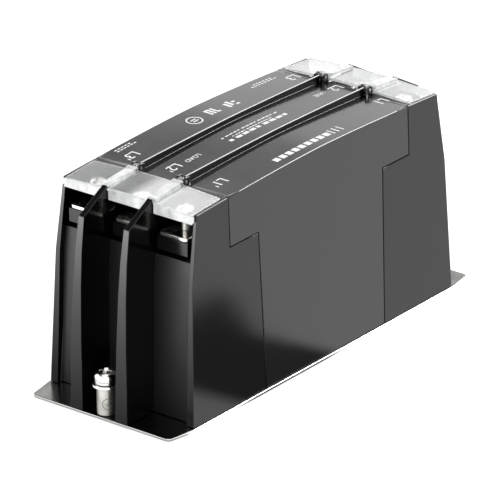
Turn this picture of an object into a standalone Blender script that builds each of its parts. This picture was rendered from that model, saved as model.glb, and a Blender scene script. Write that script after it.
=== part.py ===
"""Three-phase power line filter: a moulded housing on a metal base plate.

The plate lies in the XY plane with its underside at Z = 0, and the origin is the
centre of that underside. The load terminals are at the -X end, the line terminals
at the +X end, and the three phases sit side by side along Y. Lengths are metres.
"""
import math

import bmesh
import bpy
from mathutils import Matrix, Vector

# Ends and lanes. A distance "out" runs from the middle of the housing to an end.
SIDES = {"load": -1, "line": 1}
LANES = {1: -0.0282, 2: 0.0, 3: 0.0282}
SCREWS = {1: -0.0275, 2: 0.0, 3: 0.0275}
RIBS = {1: -0.0143, 2: 0.0143}
GAP = 0.0003

# Base plate
PLATE_THICKNESS = 0.0015
PLATE_HALF_LENGTH = 0.1255
PLATE_HALF_WIDTH = 0.0470
PLATE_END_HALF_WIDTH = 0.0445
PLATE_CORNER_RADIUS = 0.0030
PLATE_TAPER_OUT = 0.1093
MOUNT_HOLE_OUT = 0.0760
MOUNT_HOLE_Y = 0.0330
MOUNT_HOLE_RADIUS = 0.0025
MOUNT_COLLAR_RADIUS = 0.0040
MOUNT_COLLAR_TOP = 0.0045

# Housing
HOUSING_BOTTOM = PLATE_THICKNESS + GAP
DECK_TOP = 0.1120
DRAFT_TOP = 0.1115
DECK_CROWN = 0.0036
DECK_STEPS = 16
DECK_THICKNESS = 0.0025
DECK_END_OUT = 0.0775
BASE_HALF_WIDTH = 0.0461
DECK_HALF_WIDTH = 0.0424
WALL = 0.0026
KINK_HEIGHT = 0.0741
END_AT_DECK = 0.0992
END_AT_KINK = 0.1049
END_AT_BASE = 0.1084
SEAM = 0.0006
BAR_HALF_LENGTH = 0.0739
BAR_BOTTOM = 0.0872
STEM_HALF_AT_BAR = 0.0512
STEM_HALF_AT_BASE = 0.0494

# End recess, terminal floor and lane dividers
RECESS_DEPTH = 0.0035
END_WALL = 0.0024
STRIP_AT_DECK = 0.0018
STRIP_AT_BASE = 0.0047
FLOOR_TOP = 0.0858
FLOOR_THICKNESS = 0.0024
DIVIDER_TOP = 0.1095
FOOT = HOUSING_BOTTOM + 0.0001
FIN_EDGE = [(0.1263, FOOT), (0.1252, 0.0415), (0.1238, 0.0685), (0.1220, 0.0875),
            (0.1193, 0.1041), (0.1006, 0.1145)]
FIN_THICKNESS_AT_TOP = 0.0032
FIN_THICKNESS_AT_BASE = 0.0078
CROSS_WALL_BACK = 0.0760
CROSS_WALL_FRONT = 0.0780
CROSS_WALL_TOP = 0.1087

# Terminals
BUS_BAR_BOTTOM = 0.0969
BUS_BAR_THICKNESS = 0.0016
BUS_BAR_WIDTH = 0.0180
BUS_BAR_FRONT = 0.1007
BUS_BAR_TAB_OUT = 0.0660
BUS_BAR_TAB_WIDTH = 0.0100
BUS_BAR_TAB_BOTTOM = 0.0570
TERMINAL_SCREW_OUT = 0.0895
PEDESTAL_WIDTH = 0.0190
PEDESTAL_FRONT = 0.1010
PEDESTAL_FOOT = 0.0970
PEDESTAL_NOSE_BOTTOM = 0.0892
TERMINAL_THREAD_RADIUS = 0.0024
TERMINAL_HEAD_RADIUS = 0.0050
TERMINAL_HEAD_HEIGHT = 0.0036
TERMINAL_HEAD_TOP = 0.1101
TERMINAL_SHANK = 0.0140
TERMINAL_WASHER_RADIUS = 0.0059
TERMINAL_WASHER_HOLE = 0.0028
TERMINAL_WASHER_THICKNESS = 0.0011
TERMINAL_NUT_FLATS = 0.0080
TERMINAL_NUT_HEIGHT = 0.0040

# Clear terminal covers and their hinges
HINGE_OUT = 0.0756
HINGE_HEIGHT = 0.1159
COVER_BACK = 0.0780
COVER_BACK_TOP = 0.1137
COVER_FRONT = 0.1010
COVER_FRONT_TOP = 0.1118
COVER_CROWN = 0.0018
COVER_STEPS = 12
COVER_THICKNESS = 0.0016
COVER_HALF_WIDTH = 0.0404
COVER_LIP = 0.0016
COVER_LIP_BOTTOM = 0.1072
COVER_EAR_BACK = 0.1001
COVER_EAR_BOTTOM = 0.1085
COVER_EAR_HALF_WIDTH = 0.0416
RIB_WIDTH = 0.0014
RIB_TOP = 0.1185
RIB_DROP = 0.0011
FORK_WIDTH = 0.0058
FORK_SLOT = 0.0034
FORK_RADIUS = 0.0021
TONGUE_WIDTH = 0.0028
TONGUE_RADIUS = 0.0017
KNUCKLE_PAST_HINGE = 0.0023
KNUCKLE_LENGTH = 0.0030
KNUCKLE_TOP = 0.1172
CHANNEL_FRONT_TOP = 0.1147
CHANNEL_WALL = 0.0012
PIN_RADIUS = 0.00075
PIN_HOLE_RADIUS = 0.0010

# Earth terminals
EARTH_OUT = 0.1202
EARTH_POST_RADIUS = 0.0047
EARTH_POST_TOP = 0.0168
EARTH_BORE_RADIUS = 0.0032
EARTH_BORE_DEPTH = 0.0118
EARTH_SPIGOT_RADIUS = 0.0027
EARTH_THREAD_RADIUS = 0.0028
EARTH_SHANK = 0.0135
EARTH_HEAD_RADIUS = 0.0059
EARTH_HEAD_HEIGHT = 0.0048
EARTH_FLAT_WASHER_RADIUS = 0.0069
EARTH_FLAT_WASHER_THICKNESS = 0.0013
EARTH_SPRING_WASHER_RADIUS = 0.0057
EARTH_SPRING_WASHER_THICKNESS = 0.0016
EARTH_WASHER_HOLE = 0.0033

# Housing screws, driven up through the plate
HOUSING_SCREW_OUT = 0.0880
HOUSING_SCREW_Y = 0.0370
HOUSING_SCREW_HEAD_RADIUS = 0.0036
HOUSING_SCREW_RADIUS = 0.0016
HOUSING_SCREW_TIP = 0.0140
BOSS_HALF = 0.0045
BOSS_TOP = 0.0220

# Filter parts inside the housing
CORE_OUTER = 0.0330
CORE_INNER = 0.0175
CORE_BOTTOM = 0.0105
CORE_TOP = 0.0385
WIRE_RADIUS = 0.0012
WIRE_BEND = 0.0010
WINDING_TURNS = 8
WINDING_SECTOR = math.radians(94)
MOUNT_DISC_RADIUS = 0.0370
MOUNT_DISC_TOP = 0.0070
COLUMN_RADIUS = 0.0090
VANE_THICKNESS = 0.0020
BOARD_BOTTOM = 0.0600
BOARD_THICKNESS = 0.0016
BOARD_HALF_LENGTH = 0.0700
BOARD_HALF_WIDTH = 0.0370
X_CAPACITOR_SIZE = Vector((0.0260, 0.0420, 0.0320))
X_CAPACITOR_PITCH = 0.0340
Y_CAPACITOR_SIZE = Vector((0.0080, 0.0280, 0.0200))
Y_CAPACITOR_X = 0.0580
RESISTOR_RADIUS = 0.0022
RESISTOR_LENGTH = 0.0120
RESISTOR_X = -0.0560

ROUND = 20
FINE_ROUND = 12

MATERIALS = {
    "black_plastic": ((0.018, 0.018, 0.019), 0.28, 0.0),
    "clear_plastic": ((0.82, 0.84, 0.85), 0.08, 0.0),
    "bright_steel": ((0.74, 0.74, 0.72), 0.22, 1.0),
    "zinc_plate": ((0.66, 0.66, 0.64), 0.33, 1.0),
    "tinned_copper": ((0.80, 0.79, 0.76), 0.24, 1.0),
    "cast_post": ((0.63, 0.62, 0.58), 0.46, 1.0),
    "core_case": ((0.10, 0.16, 0.30), 0.50, 0.0),
    "copper_wire": ((0.62, 0.26, 0.10), 0.30, 1.0),
    "white_nylon": ((0.78, 0.77, 0.72), 0.50, 0.0),
    "circuit_laminate": ((0.05, 0.22, 0.09), 0.45, 0.0),
    "capacitor_case": ((0.66, 0.55, 0.16), 0.40, 0.0),
    "resistor_body": ((0.30, 0.42, 0.52), 0.45, 0.0),
}


def clear_scene():
    for obj in list(bpy.data.objects):
        bpy.data.objects.remove(obj, do_unlink=True)


def material(name):
    found = bpy.data.materials.get(name)
    if found:
        return found
    colour, roughness, metallic = MATERIALS[name]
    made = bpy.data.materials.new(name)
    made.use_nodes = True
    shader = made.node_tree.nodes["Principled BSDF"]
    shader.inputs["Base Color"].default_value = (*colour, 1.0)
    shader.inputs["Roughness"].default_value = roughness
    shader.inputs["Metallic"].default_value = metallic
    return made


def add_object(name, mesh, material_name=None):
    obj = bpy.data.objects.new(name, mesh)
    bpy.context.scene.collection.objects.link(obj)
    if material_name:
        mesh.materials.clear()
        mesh.materials.append(material(material_name))
    return obj


def mesh_from(bm, name):
    bmesh.ops.recalc_face_normals(bm, faces=bm.faces[:])
    mesh = bpy.data.meshes.new(name)
    bm.to_mesh(mesh)
    bm.free()
    return mesh


def prism(outline, low, high, name="shape"):
    """A closed prism: the (x, z) outline between y = low(z) and y = high(z)."""
    bm = bmesh.new()
    near = [bm.verts.new((x, low(z), z)) for x, z in outline]
    far = [bm.verts.new((x, high(z), z)) for x, z in outline]
    bm.faces.new(near)
    bm.faces.new(far)
    for i in range(len(outline)):
        j = (i + 1) % len(outline)
        bm.faces.new((near[i], near[j], far[j], far[i]))
    return add_object(name, mesh_from(bm, name))


def flat_prism(outline, y_low, y_high, name="shape"):
    return prism(outline, lambda z: y_low, lambda z: y_high, name)


def plan_prism(outline, z_low, z_high, name="shape"):
    """A closed prism: the (x, y) outline between two heights."""
    bm = bmesh.new()
    bottom = [bm.verts.new((x, y, z_low)) for x, y in outline]
    top = [bm.verts.new((x, y, z_high)) for x, y in outline]
    bm.faces.new(bottom)
    bm.faces.new(top)
    for i in range(len(outline)):
        j = (i + 1) % len(outline)
        bm.faces.new((bottom[i], bottom[j], top[j], top[i]))
    return add_object(name, mesh_from(bm, name))


def box(low, high, name="shape"):
    outline = [(low[0], low[1]), (high[0], low[1]), (high[0], high[1]), (low[0], high[1])]
    return plan_prism(outline, low[2], high[2], name)


def out_box(side, out_low, out_high, y_low, y_high, z_low, z_high):
    """A box given by its distances out from the middle towards one end."""
    x_low, x_high = sorted((SIDES[side] * out_low, SIDES[side] * out_high))
    return box((x_low, y_low, z_low), (x_high, y_high, z_high))


def turned(profile, segments=ROUND, closed=False, name="shape"):
    """Spin an (r, z) profile about Z. An open profile starts and ends on the axis."""
    bm = bmesh.new()
    points = [bm.verts.new((r, 0.0, z)) for r, z in profile]
    edges = [bm.edges.new(pair) for pair in zip(points, points[1:])]
    if closed:
        edges.append(bm.edges.new((points[-1], points[0])))
    bmesh.ops.spin(bm, geom=points + edges, cent=(0, 0, 0), axis=(0, 0, 1),
                   angle=2 * math.pi, steps=segments, use_merge=True)
    bmesh.ops.remove_doubles(bm, verts=bm.verts[:], dist=1e-6)
    return add_object(name, mesh_from(bm, name))


def cylinder(radius, z_low, z_high, segments=ROUND):
    return turned([(0.0, z_low), (radius, z_low), (radius, z_high), (0.0, z_high)], segments)


def lying_cylinder(radius, x, y_low, y_high, z, segments=FINE_ROUND):
    """A cylinder along Y."""
    circle = [(x + radius * math.cos(a), z + radius * math.sin(a)) for a in turns(segments)]
    return flat_prism(circle, y_low, y_high)


def turns(count):
    return [2 * math.pi * i / count for i in range(count)]


def arc(centre, radius, start, end, steps):
    """Points on an arc, with the angles in degrees."""
    angles = [math.radians(start + (end - start) * i / steps) for i in range(steps + 1)]
    return [(centre[0] + radius * math.cos(a), centre[1] + radius * math.sin(a)) for a in angles]


def place(obj, x, y, z=0.0):
    obj.location = (x, y, z)
    return obj


def shape_with(obj, operation, tools):
    """Join tools to a shape or cut them from it, and keep the result as its mesh."""
    for tool in tools:
        tool.hide_render = True
        tool.display_type = "WIRE"
        modifier = obj.modifiers.new("boolean", "BOOLEAN")
        modifier.operation = operation
        modifier.solver = "EXACT"
        modifier.object = tool
    bpy.context.view_layer.update()
    evaluated = obj.evaluated_get(bpy.context.evaluated_depsgraph_get())
    result = bpy.data.meshes.new_from_object(evaluated)
    obj.modifiers.clear()
    obj.data = result
    for tool in tools:
        bpy.data.objects.remove(tool, do_unlink=True)
    return obj


def cut(obj, tools):
    return shape_with(obj, "DIFFERENCE", tools)


def join(obj, tools):
    return shape_with(obj, "UNION", tools)


def finish(obj, name, material_name, smooth=False):
    obj.name = name
    obj.data.name = name
    obj.data.materials.clear()
    obj.data.materials.append(material(material_name))
    if smooth:
        obj.data.shade_smooth()
        obj.data.set_sharp_from_angle(angle=math.radians(35))
    return obj


def copy_to(obj, name, x, y, z=0.0):
    twin = bpy.data.objects.new(name, obj.data)
    bpy.context.scene.collection.objects.link(twin)
    return place(twin, x, y, z)


def taper(at_base, at_deck):
    """A width that changes evenly from the plate's top to the edge of the deck."""
    slope = (at_deck - at_base) / (DRAFT_TOP - PLATE_THICKNESS)
    return lambda z: at_base + slope * (z - PLATE_THICKNESS)


half_width = taper(BASE_HALF_WIDTH, DECK_HALF_WIDTH)
strip = taper(STRIP_AT_BASE, STRIP_AT_DECK)
fin_half = taper(FIN_THICKNESS_AT_BASE / 2, FIN_THICKNESS_AT_TOP / 2)


def housing_prism(outline, inset=lambda z: 0.0):
    """A prism between the two drafted side planes, or a set distance inside them."""
    return prism(outline, lambda z: inset(z) - half_width(z), lambda z: half_width(z) - inset(z))


def end_line(depth, bottom=HOUSING_BOTTOM, top=DECK_TOP):
    """The end's slope as (out, z) points, a depth inside the side walls' end edges."""
    above = (END_AT_DECK - END_AT_KINK) / (DECK_TOP - KINK_HEIGHT)
    below = (END_AT_KINK - END_AT_BASE) / (KINK_HEIGHT - HOUSING_BOTTOM)
    low = END_AT_KINK + below * (bottom - KINK_HEIGHT)
    high = END_AT_KINK + above * (top - KINK_HEIGHT)
    return [(low - depth, bottom), (END_AT_KINK - depth, KINK_HEIGHT), (high - depth, top)]


def deck_height(out):
    """The deck's height: it is crowned along the length of the part."""
    return DECK_TOP + DECK_CROWN * (1 - (abs(out) / END_AT_DECK) ** 1.5)


def deck_line(start, end, rise=0.0, steps=DECK_STEPS):
    """Points (out, z) along the crowned deck, a set height above it."""
    places = [start + (end - start) * i / steps for i in range(steps + 1)]
    return [(out, deck_height(out) + rise) for out in places]


def towards(side, outline):
    return [(SIDES[side] * out, z) for out, z in outline]


def make_base_plate():
    """Plate with drawn and tapped mounting collars, screw holes and earth post holes."""
    corner_out = PLATE_HALF_LENGTH - PLATE_CORNER_RADIUS
    corner_y = PLATE_END_HALF_WIDTH - PLATE_CORNER_RADIUS
    quarter = [(PLATE_TAPER_OUT, PLATE_HALF_WIDTH)]
    quarter += arc((corner_out, corner_y), PLATE_CORNER_RADIUS, 80, 0, 6)
    outline = quarter + [(x, -y) for x, y in reversed(quarter)]
    outline += [(-x, -y) for x, y in outline]
    plate = plan_prism(outline, 0.0, PLATE_THICKNESS)
    collars = []
    holes = []
    for x_sign in (-1, 1):
        for y_sign in (-1, 1):
            x = x_sign * MOUNT_HOLE_OUT
            y = y_sign * MOUNT_HOLE_Y
            collars.append(place(cylinder(MOUNT_COLLAR_RADIUS, GAP, MOUNT_COLLAR_TOP), x, y))
            holes.append(place(cylinder(MOUNT_HOLE_RADIUS, -0.001, 0.006, 20), x, y))
            x = x_sign * HOUSING_SCREW_OUT
            y = y_sign * HOUSING_SCREW_Y
            head = HOUSING_SCREW_HEAD_RADIUS + GAP
            body = HOUSING_SCREW_RADIUS + GAP
            cone = [(0.0, -0.0005), (head, -0.0005), (head, 0.0005), (body, 0.0017),
                    (body, 0.003), (0.0, 0.003)]
            holes.append(place(turned(cone), x, y))
        spigot_hole = cylinder(EARTH_SPIGOT_RADIUS + GAP, -0.001, 0.003)
        holes.append(place(spigot_hole, x_sign * EARTH_OUT, 0.0))
    cut(join(plate, collars), holes)
    return finish(plate, "base_plate", "zinc_plate")


def make_housing_screws():
    head = HOUSING_SCREW_HEAD_RADIUS
    body = HOUSING_SCREW_RADIUS
    profile = [(0.0, 0.0001), (head, 0.0001), (head, 0.0003), (body, 0.0015),
               (body, HOUSING_SCREW_TIP - 0.002), (0.0006, HOUSING_SCREW_TIP),
               (0.0, HOUSING_SCREW_TIP)]
    first = turned(profile, FINE_ROUND)
    recess = cross_recess(0.0016, -0.0005, 0.0009)
    cut(first, [recess])
    places = [(x * HOUSING_SCREW_OUT, y * HOUSING_SCREW_Y) for x in (-1, 1) for y in (-1, 1)]
    finish(first, "housing_screw_1", "bright_steel", smooth=True)
    place(first, *places[0])
    for number, (x, y) in enumerate(places[1:], start=2):
        copy_to(first, f"housing_screw_{number}", x, y)


def cross_recess(reach, z_low, z_high, half=None):
    """A plus-shaped cutter for a cross-recess driver."""
    half = half or reach * 0.28
    corners = []
    for quarter in range(4):
        turn = Matrix.Rotation(quarter * math.pi / 2, 2)
        for point in ((reach, -half), (reach, half), (half, half)):
            corners.append(tuple(turn @ Vector(point)))
    return plan_prism(corners, z_low, z_high)


def pan_head_screw(radius, height, thread, shank):
    """A domed cross-recess screw: the underside of its head is at Z = 0."""
    dome = [(radius * math.cos(a), height * (0.45 + 0.55 * math.sin(a)))
            for a in (math.radians(12 + 24 * i) for i in range(3))]
    profile = [(0.0, -shank), (thread * 0.72, -shank), (thread, -shank + 0.0008), (thread, 0.0),
               (radius * 0.97, 0.0), (radius, height * 0.18)]
    profile += dome + [(0.0, height)]
    screw = turned(profile)
    recess = cross_recess(radius * 0.55, height * 0.45, height + 0.001)
    return cut(screw, [recess])


def washer(radius, hole, thickness, segments=ROUND):
    ring = [(hole, 0.0), (radius, 0.0), (radius, thickness), (hole, thickness)]
    return turned(ring, segments, closed=True)


def hexagon(flats):
    radius = flats / math.sqrt(3)
    return [(radius * math.cos(a), radius * math.sin(a)) for a in turns(6)]


def make_end_block(side):
    """Side walls, recessed end wall, terminal floor, pedestals, dividers and fins."""
    inner_edge = BAR_HALF_LENGTH + SEAM
    shell = end_line(0.0)[:2] + deck_line(END_AT_DECK, inner_edge, steps=4)
    shell += [(inner_edge, BAR_BOTTOM - SEAM), (STEM_HALF_AT_BAR + SEAM, BAR_BOTTOM - SEAM),
              (STEM_HALF_AT_BASE + SEAM, HOUSING_BOTTOM)]
    block = housing_prism(towards(side, shell))
    roof = FLOOR_TOP - FLOOR_THICKNESS
    low = -0.005
    high = 0.130
    cavity = end_line(RECESS_DEPTH + END_WALL, low, roof) + [(0.040, roof), (0.040, low)]
    recess = [(0.040, roof - 0.001), (CROSS_WALL_BACK, roof - 0.001),
              (CROSS_WALL_BACK, CROSS_WALL_TOP), (CROSS_WALL_FRONT, CROSS_WALL_TOP),
              (CROSS_WALL_FRONT, FLOOR_TOP)]
    recess += reversed(end_line(RECESS_DEPTH, low, FLOOR_TOP))
    recess += [(high, low), (high, high), (0.040, high)]
    cut(block, [housing_prism(towards(side, cavity), taper(WALL, WALL)),
                housing_prism(towards(side, recess), strip)])
    join(block, [fin(side, y) for y in RIBS.values()]
         + [pedestal(side, y) for y in LANES.values()]
         + [boss(side, y_sign) for y_sign in (-1, 1)])
    cut(block, pockets(side) + bar_slots(side) + boss_holes(side))
    return finish(block, f"{side}_end_block", "black_plastic")


def fin(side, y):
    """A lane divider: low under the cover, then a fin down the end of the block."""
    foot = end_line(RECESS_DEPTH + END_WALL / 2, FOOT, FLOOR_TOP)
    back = CROSS_WALL_FRONT - 0.0002
    inside_floor = FLOOR_TOP - FLOOR_THICKNESS / 2
    outline = FIN_EDGE + [(FIN_EDGE[-1][0], DIVIDER_TOP), (back, DIVIDER_TOP),
                          (back, inside_floor), (foot[2][0], inside_floor), foot[1], foot[0]]
    return prism(towards(side, outline), lambda z: y - fin_half(z), lambda z: y + fin_half(z))


def pedestal(side, y):
    """The moulded block under a bus bar, undercut at its front."""
    top = BUS_BAR_BOTTOM - GAP
    back = CROSS_WALL_FRONT - 0.001
    outline = [(back, FLOOR_TOP - 0.001), (PEDESTAL_FOOT, FLOOR_TOP - 0.001),
               (PEDESTAL_FOOT, PEDESTAL_NOSE_BOTTOM), (PEDESTAL_FRONT, PEDESTAL_NOSE_BOTTOM),
               (PEDESTAL_FRONT, top), (back, top)]
    return flat_prism(towards(side, outline), y - PEDESTAL_WIDTH / 2, y + PEDESTAL_WIDTH / 2)


def boss(side, y_sign):
    """A corner post inside the block that takes a housing screw."""
    y = y_sign * HOUSING_SCREW_Y
    outer = y_sign * 0.0440
    y_low, y_high = sorted((y - y_sign * BOSS_HALF, outer))
    return out_box(side, HOUSING_SCREW_OUT - BOSS_HALF, HOUSING_SCREW_OUT + BOSS_HALF,
                   y_low, y_high, FOOT, BOSS_TOP)


def boss_holes(side):
    x = SIDES[side] * HOUSING_SCREW_OUT
    radius = HOUSING_SCREW_RADIUS + GAP
    depth = HOUSING_SCREW_TIP + 0.001
    return [place(cylinder(radius, 0.0, depth, FINE_ROUND), x, sign * HOUSING_SCREW_Y)
            for sign in (-1, 1)]


def pockets(side):
    """A hexagonal nut pocket and a clearance hole for the screw's tip in each pedestal."""
    x = SIDES[side] * TERMINAL_SCREW_OUT
    pocket_floor = BUS_BAR_BOTTOM - 0.0005 - TERMINAL_NUT_HEIGHT - GAP
    tools = []
    for y in SCREWS.values():
        pocket = plan_prism(hexagon(TERMINAL_NUT_FLATS + 2 * GAP), pocket_floor, 0.1000)
        tip_hole = cylinder(0.0030, FLOOR_TOP + 0.0003, pocket_floor + 0.0005, 12)
        tools += [place(pocket, x, y), place(tip_hole, x, y)]
    return tools


def bar_slots(side):
    """The openings in the cross wall that the bus bars pass through."""
    half = BUS_BAR_WIDTH / 2 + GAP
    return [out_box(side, CROSS_WALL_BACK - 0.001, CROSS_WALL_FRONT + 0.0005, y - half, y + half,
                    BUS_BAR_BOTTOM - GAP, BUS_BAR_BOTTOM + BUS_BAR_THICKNESS + GAP)
            for y in LANES.values()]


def make_hood():
    """T-sided saddle: deck, two skirts, two deck ribs and the hinge forks at their ends."""
    half = [(STEM_HALF_AT_BASE, HOUSING_BOTTOM), (STEM_HALF_AT_BAR, BAR_BOTTOM),
            (BAR_HALF_LENGTH, BAR_BOTTOM)]
    outline = half + deck_line(BAR_HALF_LENGTH, -BAR_HALF_LENGTH)
    outline += [(-x, z) for x, z in reversed(half)]
    hood = housing_prism(outline)
    inside = [(-0.08, -0.01), (0.08, -0.01)] + deck_line(0.08, -0.08, -DECK_THICKNESS)
    cut(hood, [housing_prism(inside, taper(WALL, WALL))])
    parts = []
    for side in SIDES:
        slab = deck_line(0.0700, DECK_END_OUT, steps=1)
        slab += deck_line(DECK_END_OUT, 0.0700, -DECK_THICKNESS, steps=1)
        parts.append(flat_prism(towards(side, slab), -COVER_HALF_WIDTH, COVER_HALF_WIDTH))
    for y in RIBS.values():
        parts.append(deck_rib(y))
        parts += [fork_cheek(side, y, cheek) for side in SIDES for cheek in (-1, 1)]
    join(hood, parts)
    cut(hood, [pin_hole(side, y) for side in SIDES for y in RIBS.values()])
    return finish(hood, "hood", "black_plastic")


def pin_hole(side, y):
    x = SIDES[side] * HINGE_OUT
    return lying_cylinder(PIN_HOLE_RADIUS, x, y - FORK_WIDTH, y + FORK_WIDTH, HINGE_HEIGHT)


def rib_top(out):
    """A rib's top edge, which is crowned less than the deck."""
    return RIB_TOP - RIB_DROP * (abs(out) / HINGE_OUT) ** 1.5


def deck_rib(y):
    """A thin rib along the deck, standing highest above it at the hinges."""
    end = HINGE_OUT - FORK_RADIUS - 0.0001
    outline = [(out, rib_top(out)) for out, z in deck_line(-end, end)]
    outline += deck_line(end, -end, -0.001)
    return flat_prism(outline, y - RIB_WIDTH / 2, y + RIB_WIDTH / 2)


def fork_cheek(side, y, cheek):
    """One cheek of a hinge fork, round about the hinge axis and sloped down to its rib."""
    back = HINGE_OUT - FORK_RADIUS - 0.001
    low = DECK_TOP - 0.0005
    outline = arc((HINGE_OUT, HINGE_HEIGHT), FORK_RADIUS, 0, 90, 8)
    outline += [(back, rib_top(back)), (back, low), (outline[0][0], low)]
    y_low, y_high = sorted((y + cheek * FORK_SLOT / 2, y + cheek * FORK_WIDTH / 2))
    return flat_prism(towards(side, outline), y_low, y_high)


def make_cover(side):
    """Clear flap with a front lip, two hollow ribs, their knuckles and their tongues."""
    lip_back = COVER_FRONT - COVER_LIP
    slope = (COVER_FRONT_TOP - COVER_BACK_TOP) / (COVER_FRONT - COVER_BACK)
    lip_root = COVER_FRONT_TOP - COVER_THICKNESS - slope * COVER_LIP
    profile = [(COVER_BACK, COVER_BACK_TOP - COVER_THICKNESS, 1), (lip_back, lip_root, 1),
               (lip_back, COVER_LIP_BOTTOM, 0), (COVER_FRONT, COVER_LIP_BOTTOM, 0),
               (COVER_FRONT, COVER_FRONT_TOP, 1), (COVER_BACK, COVER_BACK_TOP, 1)]
    plate = crowned_prism(side, profile)
    parts = [out_box(side, COVER_EAR_BACK, COVER_FRONT, -COVER_EAR_HALF_WIDTH,
                     COVER_EAR_HALF_WIDTH, COVER_EAR_BOTTOM, COVER_FRONT_TOP - 0.0003)]
    for y in RIBS.values():
        parts += [cover_channel(side, y), cover_knuckle(side, y), cover_tongue(side, y)]
    join(plate, parts)
    hollows = [channel_hollow(side, y) for y in RIBS.values()]
    notches = [fin_notch(side, y) for y in RIBS.values()]
    cut(plate, hollows + notches + [pin_hole(side, y) for y in RIBS.values()])
    cover = finish(plate, f"{side}_terminal_cover", "clear_plastic")
    return put_origin_on_hinge(cover, side)


def cover_crown(y):
    """How much higher the cover is than at its side edges."""
    return COVER_CROWN * (1 - (abs(y) / COVER_HALF_WIDTH) ** 1.6)


def crowned_prism(side, profile):
    """A prism across the cover: each (out, z, share) point takes its share of the crown."""
    bm = bmesh.new()
    rings = []
    for i in range(COVER_STEPS + 1):
        y = COVER_HALF_WIDTH * (2 * i / COVER_STEPS - 1)
        rings.append([bm.verts.new((SIDES[side] * out, y, z + share * cover_crown(y)))
                      for out, z, share in profile])
    bm.faces.new(rings[0])
    bm.faces.new(rings[-1])
    for near, far in zip(rings, rings[1:]):
        for i in range(len(profile)):
            j = (i + 1) % len(profile)
            bm.faces.new((near[i], near[j], far[j], far[i]))
    return add_object("shape", mesh_from(bm, "shape"))


def put_origin_on_hinge(obj, side):
    """Move the object's origin onto the hinge axis without moving its shape."""
    origin = Vector((SIDES[side] * HINGE_OUT, 0.0, HINGE_HEIGHT))
    obj.data.transform(Matrix.Translation(-origin))
    obj.location = origin
    return obj


def cover_channel(side, y):
    start = HINGE_OUT + KNUCKLE_PAST_HINGE + 0.001
    end = COVER_FRONT - COVER_LIP
    sunk = cover_crown(y) - 0.0010
    outline = [(start, COVER_BACK_TOP + sunk), (end, COVER_FRONT_TOP + sunk),
               (end, CHANNEL_FRONT_TOP), (start, KNUCKLE_TOP - 0.0003)]
    return flat_prism(towards(side, outline), y - FORK_WIDTH / 2, y + FORK_WIDTH / 2)


def cover_knuckle(side, y):
    """The block that carries the tongue, with its inner top corner cut away."""
    start = HINGE_OUT + KNUCKLE_PAST_HINGE
    end = start + KNUCKLE_LENGTH
    outline = [(start, COVER_BACK_TOP - 0.0010), (end, COVER_BACK_TOP - 0.0012),
               (end, KNUCKLE_TOP), (start + 0.0005, KNUCKLE_TOP),
               (start, KNUCKLE_TOP - 0.0005)]
    return flat_prism(towards(side, outline), y - FORK_WIDTH / 2, y + FORK_WIDTH / 2)


def cover_tongue(side, y):
    """The hinge eye that sits between a fork's cheeks."""
    end = HINGE_OUT + KNUCKLE_PAST_HINGE + 0.0005
    outline = arc((HINGE_OUT, HINGE_HEIGHT), TONGUE_RADIUS, 90, 270, 10)
    outline += [(end, HINGE_HEIGHT - TONGUE_RADIUS), (end, HINGE_HEIGHT + 0.0010)]
    return flat_prism(towards(side, outline), y - TONGUE_WIDTH / 2, y + TONGUE_WIDTH / 2)


def channel_hollow(side, y):
    start = HINGE_OUT + KNUCKLE_PAST_HINGE + KNUCKLE_LENGTH
    end = COVER_FRONT - COVER_LIP - CHANNEL_WALL
    half = FORK_WIDTH / 2 - CHANNEL_WALL
    outline = [(start, 0.105), (end, 0.105), (end, CHANNEL_FRONT_TOP - CHANNEL_WALL),
               (start, KNUCKLE_TOP - CHANNEL_WALL)]
    return flat_prism(towards(side, outline), y - half, y + half)


def fin_notch(side, y):
    """The gap in the front lip that a fin stands in."""
    half = FIN_THICKNESS_AT_TOP / 2 + 0.0006
    return out_box(side, COVER_FRONT - COVER_LIP, 0.105, y - half, y + half, 0.105, 0.120)


def make_hinge_pins(side):
    half = FORK_WIDTH / 2
    for number, y in RIBS.items():
        circle = [(PIN_RADIUS * math.cos(a), PIN_RADIUS * math.sin(a)) for a in turns(12)]
        pin = flat_prism(circle, -half, half)
        place(pin, SIDES[side] * HINGE_OUT, y, HINGE_HEIGHT)
        finish(pin, f"{side}_hinge_pin_{number}", "bright_steel", smooth=True)


def make_bus_bars(side):
    """Tinned copper bars, bent down behind the cross wall to reach the board."""
    half = BUS_BAR_WIDTH / 2
    top = BUS_BAR_BOTTOM + BUS_BAR_THICKNESS
    corner = 0.0020
    flat_end = BUS_BAR_TAB_OUT
    plan = [(flat_end, -half), (BUS_BAR_FRONT - corner, -half)]
    plan += arc((BUS_BAR_FRONT - corner, -half + corner), corner, -90, 0, 4)[1:]
    plan += arc((BUS_BAR_FRONT - corner, half - corner), corner, 0, 90, 4)
    plan += [(flat_end, half)]
    for lane, y in LANES.items():
        sign = SIDES[side]
        bar = plan_prism([(sign * out, y + dy) for out, dy in plan], BUS_BAR_BOTTOM, top)
        tab = out_box(side, flat_end, flat_end + BUS_BAR_THICKNESS, y - BUS_BAR_TAB_WIDTH / 2,
                      y + BUS_BAR_TAB_WIDTH / 2, BUS_BAR_TAB_BOTTOM, top - 0.0003)
        hole = place(cylinder(TERMINAL_THREAD_RADIUS + 0.0005, 0.090, 0.105),
                     sign * TERMINAL_SCREW_OUT, SCREWS[lane])
        cut(join(bar, [tab]), [hole])
        finish(bar, f"{side}_bus_bar_{lane}", "tinned_copper")


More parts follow.
